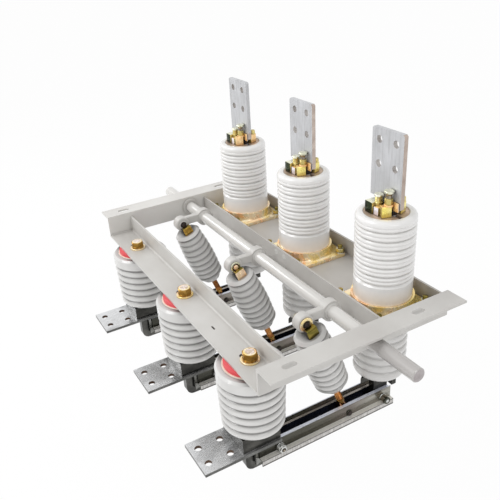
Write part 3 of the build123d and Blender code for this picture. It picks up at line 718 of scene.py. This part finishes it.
# Mesh helpers
class Form:
    """A mesh under construction, in millimetres, that ends as a piece riding on a body."""

    def __init__(self, name, body, slot=None):
        self.name = name
        self.body = body
        self.slot = slot
        self.looks = []
        self.work = bmesh.new()

    def index(self, look):
        """Gives the material slot of a look, which is added on its first use."""
        if look not in self.looks:
            self.looks.append(look)
        return self.looks.index(look)

    def skin(self, rings, place, look, closed=False):
        """Joins rings of points into one surface, which is capped at its ends or closed on itself."""
        made = [[self.work.verts.new(place @ Vector(point)) for point in ring] for ring in rings]
        slot = self.index(look)
        count = len(made[0])
        pairs = list(zip(made, made[1:]))
        if closed:
            pairs.append((made[-1], made[0]))
        for lower, upper in pairs:
            for i in range(count):
                j = (i + 1) % count
                face = self.work.faces.new((lower[i], lower[j], upper[j], upper[i]))
                face.material_index = slot
        if not closed:
            for ring in (made[0][::-1], made[-1]):
                self.work.faces.new(ring).material_index = slot

    def turned(self, profile, place, look, count=32, closed=False):
        """Turns a profile of radius and height round the Z axis of a place."""
        rings = [
            [
                (radius * math.cos(math.tau * i / count), radius * math.sin(math.tau * i / count), height)
                for i in range(count)
            ]
            for radius, height in profile
        ]
        self.skin(rings, place, look, closed)

    def washer(self, inner, outer, low, high, place, look, ease=0.4):
        """Makes a flat ring whose upper and outer edges are eased."""
        profile = (
            (inner, low),
            (outer - ease, low),
            (outer, low + ease),
            (outer, high - ease),
            (outer - ease, high),
            (inner + ease, high),
            (inner, high - ease),
        )
        self.turned(profile, place, look, closed=True)

    def hexagon(self, flats, low, high, place, look, both=False):
        """Makes a hexagonal head or nut whose corners are turned off by a cone, above or at both ends."""
        count = 48
        face_radius = flats / 2 * 0.94
        crown_radius, crown = face_radius * 0.8, 0.15
        slope = math.tan(math.radians(30))

        def ring(shape):
            points = []
            for i in range(count):
                angle = math.tau * i / count
                reach = flats / 2 / math.cos((angle + math.pi / 6) % (math.pi / 3) - math.pi / 6)
                radius, height = shape(reach)
                points.append((radius * math.cos(angle), radius * math.sin(angle), height))
            return points

        if both:
            rings = [
                ring(lambda reach: (face_radius, low)),
                ring(lambda reach: (reach, low + (reach - face_radius) * slope)),
            ]
        else:
            rings = [ring(lambda reach: (reach, low))]
        rings.append(ring(lambda reach: (reach, high - (reach - face_radius) * slope)))
        rings.append(ring(lambda reach: (face_radius, high)))
        rings.append(ring(lambda reach: (crown_radius, high + crown)))
        self.skin(rings, place, look)

    def block(self, low, high, ease, place, look):
        """Makes a box with rounded edges, and gives its faces.

        The bevel has a mesh of its own: in the piece's mesh, the order of faces varied between runs.
        """
        box = bmesh.new()
        for vert in bmesh.ops.create_cube(box, size=1.0)["verts"]:
            vert.co = Vector([low[i] if vert.co[i] < 0 else high[i] for i in range(3)])
        edges = list(box.edges)
        bmesh.ops.bevel(
            box, geom=edges, offset=ease, segments=2, affect="EDGES", profile=0.5, clamp_overlap=True
        )
        box.verts.index_update()
        verts = [self.work.verts.new(place @ vert.co) for vert in box.verts]
        faces = [self.work.faces.new([verts[vert.index] for vert in face.verts]) for face in box.faces]
        box.free()
        if place.determinant() < 0:
            bmesh.ops.reverse_faces(self.work, faces=faces)
        slot = self.index(look)
        for face in faces:
            face.material_index = slot
        return faces

    def dress(self, faces, *sides, least=FACING):
        """Gives each face the look of the first side, a direction and a look, that it faces."""
        slots = [(direction, self.index(look)) for direction, look in sides]
        for face in faces:
            face.normal_update()
            for direction, slot in slots:
                if face.normal.dot(direction) > least:
                    face.material_index = slot
                    break

    def thread(self, radius, low, high, pitch, place, look):
        """Makes the end of a threaded rod as close rings, with a chamfered tip."""
        root = radius * 0.86
        tip = high - 0.6
        profile = [(root, low)]
        height = low
        while height + pitch < tip:
            profile.append((radius, height + pitch * 0.35))
            profile.append((root, height + pitch * 0.85))
            height += pitch
        profile += [(radius * 0.95, tip), (radius * 0.72, high)]
        self.turned(profile, place, look, 24)

    def coil(self, radius, wire, low, high, turns, place, look):
        """Makes a helical spring along the Z axis of a place."""
        steps = int(turns * 20)
        sides = 8
        rings = []
        for step in range(steps + 1):
            angle = math.tau * turns * step / steps
            height = low + (high - low) * step / steps
            ring = []
            for i in range(sides):
                tilt = math.tau * i / sides
                reach = radius + wire * math.cos(tilt)
                ring.append(
                    (reach * math.cos(angle), reach * math.sin(angle), height + wire * math.sin(tilt))
                )
            rings.append(ring)
        self.skin(rings, place, look)

    def bead(self, start, end, radius, look):
        """Lays a rippled weld bead along a straight joint."""
        start = Vector(start)
        end = Vector(end)
        length = (end - start).length
        turn = (end - start).to_track_quat("Z", "Y").to_matrix().to_4x4()
        steps = max(8, int(length / 1.5))
        sides = 10
        rings = []
        for step in range(steps + 1):
            t = length * step / steps
            taper = min(1.0, 0.35 + 3 * min(t, length - t) / (radius * 3))
            swell = taper * (1 + 0.12 * math.sin(t * 1.9) + 0.08 * math.sin(t * 0.37 + 1.3))
            ring = []
            for i in range(sides):
                angle = math.tau * i / sides
                ring.append((radius * swell * math.cos(angle), radius * swell * math.sin(angle), t))
            rings.append(ring)
        self.skin(rings, Matrix.Translation(start) @ turn, look)

    def done(self):
        """Turns the work into an object in metres and gives it to its body."""
        sharp = math.radians(38)
        bmesh.ops.recalc_face_normals(self.work, faces=self.work.faces)
        bmesh.ops.scale(self.work, vec=(MM, MM, MM), verts=self.work.verts)
        mesh = bpy.data.meshes.new(self.name)
        self.work.to_mesh(mesh)
        self.work.free()
        for look in self.looks:
            mesh.materials.append(look)
        mesh.polygons.foreach_set("use_smooth", [True] * len(mesh.polygons))
        mesh.set_sharp_from_angle(angle=sharp)
        piece = bpy.data.objects.new(self.name, mesh)
        bpy.context.scene.collection.objects.link(piece)
        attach(piece, self.body)
        return piece


def upright(x, y, z, turn=0.0):
    """A place whose Z axis points up."""
    return Matrix.Translation((x, y, z)) @ Matrix.Rotation(turn, 4, "Z")


def sideways(x, y, z, side=1):
    """A place whose Z axis points along X, to the right or, for side -1, to the left."""
    return Matrix.Translation((x, y, z)) @ Matrix.Rotation(side * math.pi / 2, 4, "Y")


def capsule(form, x, y, low, high, length, width):
    """Lays a slot with round ends, its length along X, painted nearly black as shade."""
    count = 32
    straight = (length - width) / 2
    outline = []
    for i in range(count):
        angle = math.tau * i / count
        shift = straight if math.cos(angle) > 0 else -straight
        outline.append((x + shift + width / 2 * math.cos(angle), y + width / 2 * math.sin(angle)))
    rings = [[(*point, height) for point in outline] for height in (low, high)]
    form.skin(rings, Matrix(), SHADOW)


# Pieces on the frame
def make_front_bolts():
    """The bolt of each post in its slot of the front beam, on two washers."""
    form = Form("front_bolts", "frame", "yellow_zinc")
    shifts = {1: (11, -7), 2: (10, -6), 3: (10, -4.5)}
    slot_left, slot_front = 6, 5
    slot_length, slot_width = 32, 11
    bore = 6
    plain_radius, plain_top = 16.5, 3
    spring_radius, spring_top = 13, 6.4
    flats, head_top = 24, 16.6
    for number, (along, across) in shifts.items():
        x = PHASE_X[number] + along
        y = POST_Y + across
        slot_x, slot_y = x - slot_left, y - slot_front
        # The slot is painted shade
        capsule(form, slot_x, slot_y, FLANGE_TOP - 0.5, FLANGE_TOP + 0.25, slot_length, slot_width)
        place = upright(x, y, FLANGE_TOP)
        form.washer(bore, plain_radius, 0, plain_top, place, GOLD)
        form.washer(bore, spring_radius, plain_top, spring_top, place, GOLD_BROWN)
        turned_head = upright(x, y, FLANGE_TOP, 0.35 + number)
        form.hexagon(flats, spring_top, head_top, turned_head, GOLD_BROWN)
        # Painted highlight: a paler gold ring on the head's chamfer
        form.turned(((11.2, 16.3), (11.0, 16.8), (8.6, 17.1)), place, GOLD)
        form.turned(((8.2, 16.9), (7.9, 17.4), (5.0, 17.7)), place, BOLT_TOP)
    form.done()


def make_flange_bolts():
    """Four bolts in each flange plate, with the nut and the thread's end above and the head below."""
    form = Form("flange_bolts", "frame", "yellow_zinc")
    from_centre = 54
    tray_bottom = -50
    bore, washer_radius, washer_height = 4.6, 10, 1.6
    flats, nut_top, head_bottom = 16, 9.6, 8
    thread_radius, thread_top, thread_pitch = 5, 17, 1.5
    for x in PHASE_X.values():
        for i, (along, across) in enumerate(((-1, -1), (1, -1), (1, 1), (-1, 1))):
            at = (x + along * from_centre, BUSHING_Y + across * from_centre)
            place = upright(*at, PLATE_TOP, 0.4 + 0.7 * i + x)
            form.washer(bore, washer_radius, 0, washer_height, place, SILVER)
            form.hexagon(flats, washer_height, nut_top, place, GOLD_DULL, both=True)
            form.washer(bore, 7.6, nut_top - 0.1, nut_top + 0.5, place, GOLD_PALE, 0.2)
            form.thread(thread_radius, nut_top - 0.2, thread_top, thread_pitch, place, OLIVE)
            under = Matrix.Translation((*at, tray_bottom)) @ Matrix.Rotation(math.pi, 4, "X")
            form.washer(bore, washer_radius, 0, washer_height, under, SILVER)
            form.hexagon(flats, washer_height, head_bottom, under, GOLD_DULL)
    form.done()


def make_clamp_blocks(form, number):
    """Three clamp blocks on either side of a conductor, with painted light and reflections by the way each
    face faces, and a dark block of painted shade in the gap between them.
    """
    x = PHASE_X[number]
    side_look = GOLD_ORANGE if number == 1 else GOLD_YELLOW
    for side in (-1, 1):
        mirror = Matrix.Translation((x, BUSHING_Y, PAD_TOP)) @ Matrix.Diagonal((1, -side, 1, 1))
        # Painted light and reflections: each face's tint follows the way it faces
        left = form.block((-24, 7, 0), (-5, 28, 21), 1.4, mirror, GOLD_DULL)
        form.dress(left, (UP, GOLD_PALE), (FRONT, GOLD_GREEN))
        middle = form.block((-3.5, 7, 0), (8.5, 26, 15), 1.2, mirror, GOLD_DULL)
        form.dress(middle, (UP, GOLD_ORANGE), (FRONT, GOLD_PINK))
        askew = Matrix.Translation((16, 16.5, 0)) @ Matrix.Rotation(math.radians(20), 4, "Z")
        right = form.block((-6.5, -9, 0), (6.5, 9, 20), 1.4, mirror @ askew, GOLD_DULL)
        form.dress(right, (UP, GOLD_ORANGE), (RIGHT, side_look))
    # Painted shade: a dark block in the gap, with a green top
    filler_length, filler_depth, filler_top = 42, 9.6, 156
    low = (x - filler_length / 2, BUSHING_Y - filler_depth / 2, PAD_TOP)
    high = (x + filler_length / 2, BUSHING_Y + filler_depth / 2, filler_top)
    gap_shadow_block = form.block(low, high, 0.8, Matrix(), SHADOW)
    form.dress(gap_shadow_block, (UP, GOLD_GREEN))


def make_clamps():
    """The clamp blocks of each conductor, with two bolts in front and a boss and a nut behind."""
    form = Form("clamp_blocks", "frame", "yellow_zinc")
    top = 160
    for number, x in PHASE_X.items():
        make_clamp_blocks(form, number)
        place = upright(x - 5.6, BUSHING_Y - 13, top)
        form.turned(((7.6, -6), (7.6, -1), (6.6, 0), (6.2, 8), (7.0, 9.6)), place, GOLD_DULL)
        form.turned(((7.6, 9.4), (8.0, 9.8), (8.0, 12.4), (7.4, 13)), place, GOLD_PALE)
        place = upright(x + 19, BUSHING_Y - 12.8, top, 0.3)
        form.washer(4, 8, -1.2, 2.2, place, GOLD_ORANGE)
        form.hexagon(12, 2.2, 13, place, GOLD_DULL)
        form.turned(((5.0, 12), (5.0, 18.6), (6.2, 20.4), (8.2, 23)), place, PIN_SLEEVE)
        form.turned(((8.5, 22.6), (8.7, 23), (8.7, 26), (8.1, 26.6)), place, GOLD_PALE)
        place = upright(x + 17.5, BUSHING_Y + 19, top)
        boss = ((5.8, -1.2), (5.6, 6.4), (5.0, 7.4), (2.6, 7.4), (2.2, 6.6))
        form.turned(boss, place, GOLD_DULL)
        place = upright(x - 13, BUSHING_Y + 17, top)
        form.washer(3, 7.6, 0, 1.4, place, GOLD)
        form.hexagon(11, 1.4, 8, place, GOLD_DULL)
    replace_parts(form.done(), "terminal_clamps")


def make_plate_strips():
    """The lower edge of each upper terminal plate, deeper on its right, and the gilt tab before it."""
    form = Form("plate_strips", "frame", "plated_copper")
    half_width, half_depth = 38, 4
    strip_bottom = 162
    ear_left, ear_bottom = 28, 154
    tab_low = (18, -7, 150)
    tab_high = (36, -4.2, 166)
    for x in PHASE_X.values():
        outline = [
            (half_width, SHOULDER_TOP),
            (-half_width, SHOULDER_TOP),
            (-half_width, strip_bottom),
            (ear_left, strip_bottom),
            (ear_left, ear_bottom),
            (half_width, ear_bottom),
        ]
        rings = [[(x + a, BUSHING_Y + y, b) for a, b in outline] for y in (-half_depth, half_depth)]
        form.skin(rings, Matrix(), TIN)
        centre = Vector((x, BUSHING_Y, 0))
        form.block(centre + Vector(tab_low), centre + Vector(tab_high), 0.8, Matrix(), GOLD_ORANGE)
    bmesh.ops.recalc_face_normals(form.work, faces=form.work.faces)
    form.dress(form.work.faces, (RIGHT, COPPER_EDGE))
    form.done()


def make_welds():
    """Weld beads where the beam and the tray meet the end angles, and two spot welds on the tray."""
    form = Form("weld_beads", "frame", "frame_paint")
    leg_top, leg_bottom = -13, -44
    beam_front, beam_back, beam_web = -173, -124, -120.5
    tray_front, tray_back = 79, 212
    for x in (21.4, 694.6):
        form.bead((x, beam_front, FLANGE_TOP), (x, beam_back, FLANGE_TOP), 2.2, PAINT)
        form.bead((x, beam_web, leg_bottom), (x, beam_web, leg_top), 2.0, PAINT)
        form.bead((x, tray_front, FLANGE_TOP), (x, tray_back, FLANGE_TOP), 2.2, PAINT)
        for y in (tray_front - 1.4, tray_back + 1.4):
            form.bead((x, y, leg_bottom), (x, y, leg_top), 2.0, PAINT)
    tray_face, spot_z = 73.8, -22
    for x in (360, 389):
        place = Matrix.Translation((x, tray_face, spot_z)) @ Matrix.Rotation(math.pi / 2, 4, "X")
        form.turned(((6.5, 0), (5.6, 0.7), (3.2, 0.9), (1.2, 0.5)), place, PAINT)
    form.done()


def make_cap_rings():
    """The pale cement line round each post cap."""
    form = Form("cap_rings", "frame")
    post_top = -58
    inner, outer = 44.6, 48.2
    low, high, ease = -0.3, 1.6, 0.6
    for x in PHASE_X.values():
        form.washer(inner, outer, low, high, upright(x, POST_Y, post_top), CEMENT, ease)
    form.done()


def make_beam_mark():
    """The short slot in the front beam's flange, painted dark as shade."""
    form = Form("beam_slot_mark", "frame", "frame_paint")
    x, y = 501, -150
    length, width = 12, 3
    capsule(form, x, y, FLANGE_TOP - 0.4, FLANGE_TOP + 0.15, length, width)
    form.done()


# Pieces on the shaft, the tie insulators and the blades
def make_crank_welds():
    """A fillet weld on either side of each crank's hub."""
    form = Form("crank_welds", "shaft", "frame_paint")
    crank_right, crank_left = -4, -20
    fillet = ((12.6, -0.6), (17.2, -0.6), (16.4, 0.8), (14.6, 2.2), (12.6, 3.2))
    for x in PHASE_X.values():
        for face_x, side in ((x + crank_right, 1), (x + crank_left, -1)):
            form.turned(fillet, sideways(face_x, SHAFT_Y, SHAFT_Z, side), PAINT, closed=True)
    form.done()


def make_tie_hardware(number):
    """A tie's washer on the crank pin, its clevis block, and the nuts and thread of its lower stud."""
    form = Form(f"tie_hardware_{number}", f"tie_{number}", "yellow_zinc")
    washer_radius, washer_look, pin_look, block_look = {
        1: (10, PAINT, SHADOW, GOLD_DEEP),
        2: (11, GOLD_PALE, GOLD, GOLD),
        3: (13, GOLD, SHADOW, OLIVE),
    }[number]
    x = PHASE_X[number]
    lug_face = 3
    place = sideways(x + lug_face, CRANK_PIN_Y, SHAFT_Z)
    form.washer(7.2, washer_radius, 0.2, 2.6, place, washer_look, 0.9)
    # Painted shade: a dark ring in the gap between the washer and the pin
    form.turned(((7.1, 0.1), (7.1, 0.8)), place, SHADOW)
    # On phases 1 and 3 the pin's end is nearly black: painted shade of a hole
    form.turned(((5.4, 0), (5.2, 4.2), (4.2, 5.2), (2.2, 5.4)), place, pin_look)
    down = Vector((0, TIE_PIN_Y - CRANK_PIN_Y, BLADE_Z - SHAFT_Z)).normalized()
    axes = Matrix((RIGHT, down.cross(RIGHT), down)).transposed().to_4x4()
    lengthwise = Matrix.Translation((x, CRANK_PIN_Y, SHAFT_Z)) @ axes
    block = form.block((6.4, -11, 4), (18, 11, 27), 1.8, lengthwise, OLIVE)
    # Painted light: the block's right faces in a tint of their own
    form.dress(block, (RIGHT, block_look))
    # Painted shade: the block's front faces
    form.dress(block, (FRONT, SHADOW), least=0.6)
    nut_top, nut_bottom = 171, 180
    thread_end = 214
    lock_top, lock_bottom = 215, 223
    form.hexagon(20, nut_top, nut_bottom, lengthwise, BRONZE)
    form.thread(6.6, nut_bottom - 1, thread_end, 2.4, lengthwise, BRONZE)
    turned_nut = lengthwise @ Matrix.Rotation(math.pi / 6, 4, "Z")
    form.hexagon(13, lock_top, lock_bottom, turned_nut, GOLD_BROWN, both=True)
    form.done()


def make_blade_hardware(number):
    """The washers, sleeves, springs, nuts and caps on both ends of a blade's three pins."""
    form = Form(f"blade_hardware_{number}", f"blade_{number}", "plated_steel")
    x = PHASE_X[number]
    for side in (-1, 1):
        place = sideways(x, BUSHING_Y, BLADE_Z, side)
        form.washer(5.9, 7.8, PLATE_FACE, PLATE_FACE + 1.6, place, SILVER)
        form.washer(5.9, 7.0, PLATE_FACE + 1.6, 26, place, PIN_SLEEVE)
        cap = ((7.4, 26), (7.6, 27), (7.6, 29.4), (6.9, 30.3), (4.2, 30.4), (3.9, 29.9))
        form.turned(cap, place, STEEL_DARK)
        form.turned(((3.7, 29.6), (3.4, 30.6), (1.8, 31)), place, SILVER)
        place = sideways(x, CONTACT_Y, BLADE_Z, side)
        form.washer(4.9, 7.8, PLATE_FACE, PLATE_FACE + 1.4, place, SILVER)
        form.coil(6.3, 0.9, PLATE_FACE + 2.2, 22.6, 3.2, place, SILVER)
        form.washer(4.9, 7.8, 23.2, 24.4, place, SILVER)
        form.hexagon(13, 24.4, 27.6, place, SILVER)
        # Painted shade: the dark bore of the nut
        form.turned(((4.6, 27.4), (4.4, 28.2)), place, SHADOW)
        form.turned(((2.6, 28), (2.4, 29.2), (1.2, 29.4)), place, PIN_SLEEVE)
        place = sideways(x, TIE_PIN_Y, BLADE_Z, side)
        form.washer(3.9, 6.4, PLATE_FACE, PLATE_FACE + 1.2, place, STEEL_DARK)
        # Painted shade: the tie pin's ends, nearly black as a shadowed recess
        form.turned(((5.4, PLATE_FACE + 1.1), (5.2, 18.2), (4.2, 18.6), (2.0, 18.3)), place, SHADOW)
    form.done()


make_front_bolts()
make_flange_bolts()
make_clamps()
make_plate_strips()
make_welds()
make_beam_mark()
make_cap_rings()
make_crank_welds()
for number in PHASES:
    make_tie_hardware(number)
    make_blade_hardware(number)


# Floor, background, lamps and camera
def make_stage():
    """A white floor, low enough for the open blades, that glows to the camera and in reflections."""
    floor_drop = 0.26
    floor_size = 60.0
    floor_tone = 248
    glow_share = 0.95
    mesh = bpy.data.meshes.new("floor")
    work = bmesh.new()
    bmesh.ops.create_grid(work, x_segments=1, y_segments=1, size=floor_size / 2)
    work.to_mesh(mesh)
    work.free()
    floor = bpy.data.objects.new("floor", mesh)
    floor.location = (cad_low.x + cad_high.x) / 2, 0, cad_low.z - floor_drop
    bpy.context.scene.collection.objects.link(floor)
    look = Look("floor_white")
    path = look.add("ShaderNodeLightPath")
    seen = look.math("ADD", path.outputs["Is Camera Ray"], path.outputs["Is Glossy Ray"], clamp=True)
    diffuse = look.add("ShaderNodeBsdfDiffuse")
    look.put(diffuse.inputs["Color"], tone(floor_tone))
    glow = look.add("ShaderNodeEmission")
    blend = look.add("ShaderNodeMixShader")
    look.put(blend.inputs["Fac"], look.math("MULTIPLY", seen, glow_share))
    look.put(blend.inputs[1], diffuse.outputs["BSDF"])
    look.put(blend.inputs[2], glow.outputs["Emission"])
    look.put(look.output.inputs["Surface"], blend.outputs["Shader"])
    mesh.materials.append(look.material)


def make_world():
    """Soft light from all round, and pure white where the camera or a reflection sees it."""
    ambient = 0.72
    world = bpy.data.worlds.new("studio")
    bpy.context.scene.world = world
    world.use_nodes = True
    tree = world.node_tree
    tree.nodes.clear()
    path = tree.nodes.new("ShaderNodeLightPath")
    seen = path.outputs["Is Camera Ray"]
    for other in ("Is Glossy Ray", "Is Transmission Ray"):
        added = tree.nodes.new("ShaderNodeMath")
        added.operation = "ADD"
        added.use_clamp = True
        tree.links.new(seen, added.inputs[0])
        tree.links.new(path.outputs[other], added.inputs[1])
        seen = added.outputs["Value"]
    light = tree.nodes.new("ShaderNodeBackground")
    light.inputs["Color"].default_value = (1, 1, 1, 1)
    light.inputs["Strength"].default_value = ambient
    white = tree.nodes.new("ShaderNodeBackground")
    white.inputs["Color"].default_value = (1, 1, 1, 1)
    blend = tree.nodes.new("ShaderNodeMixShader")
    tree.links.new(seen, blend.inputs["Fac"])
    tree.links.new(light.outputs["Background"], blend.inputs[1])
    tree.links.new(white.outputs["Background"], blend.inputs[2])
    output = tree.nodes.new("ShaderNodeOutputWorld")
    tree.links.new(blend.outputs["Shader"], output.inputs["Surface"])


def area_lamp(name, place, target, size, watts):
    """A square lamp at a place, turned towards its target."""
    data = bpy.data.lights.new(name, "AREA")
    data.shape = "SQUARE"
    data.size = size
    data.energy = watts
    lamp = bpy.data.objects.new(name, data)
    bpy.context.scene.collection.objects.link(lamp)
    lamp.location = place
    lamp.rotation_euler = (Vector(target) - Vector(place)).to_track_quat("-Z", "Y").to_euler()


def make_lamps():
    """A key lamp from the front, a weak one from the right and one for streaks of shine from the left."""
    middle = (cad_low + cad_high) / 2
    area_lamp("key", middle + Vector((-0.6, -2.0, 2.2)), middle, size=1.4, watts=30)
    area_lamp("side", middle + Vector((2.6, -0.2, 1.0)), middle, size=1.2, watts=9)
    area_lamp("streak", middle + Vector((-2.3, -1.0, 1.5)), middle, size=0.9, watts=14)


def make_camera():
    """The photo's viewpoint, as fitted to points of the object."""
    place = Vector((1353.36, -531.19, 585.09)) * MM
    azimuth = math.radians(61.37)
    elevation = math.radians(27.28)
    roll = math.radians(-3.49)
    focal_pixels = 627.82
    frame_pixels = 500
    data = bpy.data.cameras.new("camera")
    data.sensor_width = 36
    data.lens = focal_pixels / frame_pixels * data.sensor_width
    data.clip_start = 0.05
    data.clip_end = 100
    camera = bpy.data.objects.new("camera", data)
    bpy.context.scene.collection.objects.link(camera)
    ahead = Vector(
        (
            -math.sin(azimuth) * math.cos(elevation),
            math.cos(azimuth) * math.cos(elevation),
            -math.sin(elevation),
        )
    )
    level = Vector((math.cos(azimuth), math.sin(azimuth), 0))
    overhead = level.cross(ahead)
    right = level * math.cos(roll) + overhead * math.sin(roll)
    up = overhead * math.cos(roll) - level * math.sin(roll)
    turn = Matrix((right, up, -ahead)).transposed()
    camera.matrix_world = Matrix.Translation(place) @ turn.to_4x4()
    bpy.context.scene.camera = camera


make_stage()
make_world()
make_lamps()
make_camera()
bpy.context.scene.view_settings.view_transform = "Standard"
